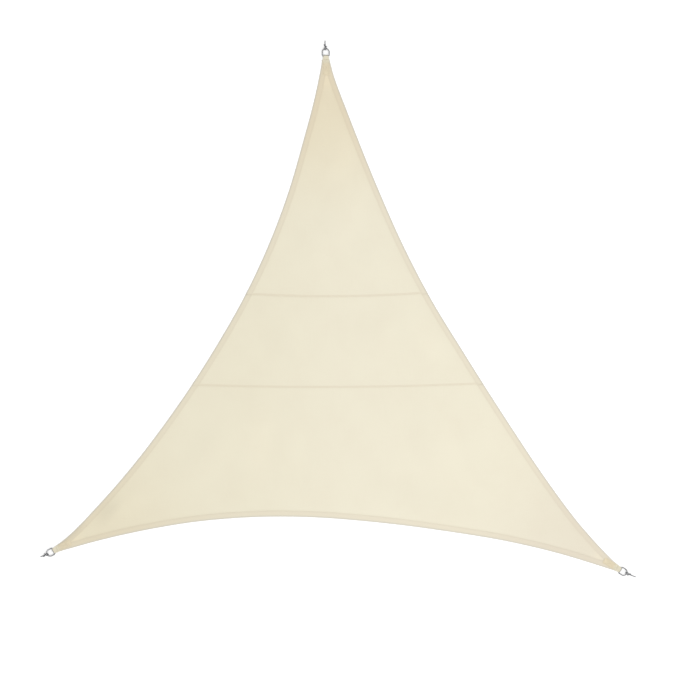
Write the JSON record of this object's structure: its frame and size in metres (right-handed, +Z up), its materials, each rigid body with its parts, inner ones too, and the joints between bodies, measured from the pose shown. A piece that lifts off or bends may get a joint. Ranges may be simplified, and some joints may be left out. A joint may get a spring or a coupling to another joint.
{
  "type": "shade sail",
  "caption": "Triangular shade sail of cream fabric, laid out flat, with hollow hemmed edges, lapped seams, and a webbing loop, steel D ring and short cord tie at each corner.",
  "frame": {"origin": "on the ground under the middle of the sail's box, ties left out", "axes": "+Z up, out of the sail's face; +Y towards the top corner; +X towards the right corner, along the bottom edge"},
  "size_m": [3.6928, 3.3287, 0.0183],
  "materials": {
    "sail_fabric": "matt cream woven polyester",
    "corner_webbing": "matt sand-coloured polyester webbing",
    "ring_steel": "satin grey steel wire, welded",
    "tie_cord": "matt dark grey braided cord"
  },
  "bodies": {
    "root": {"panel_top": "sail_fabric", "panel_middle": "sail_fabric", "panel_bottom": "sail_fabric", "strap_top": "corner_webbing", "strap_left": "corner_webbing", "strap_right": "corner_webbing", "ring_top": "ring_steel", "ring_left": "ring_steel", "ring_right": "ring_steel", "tie_top": "tie_cord", "tie_left": "tie_cord", "tie_right": "tie_cord"}
  },
  "joints": []
}
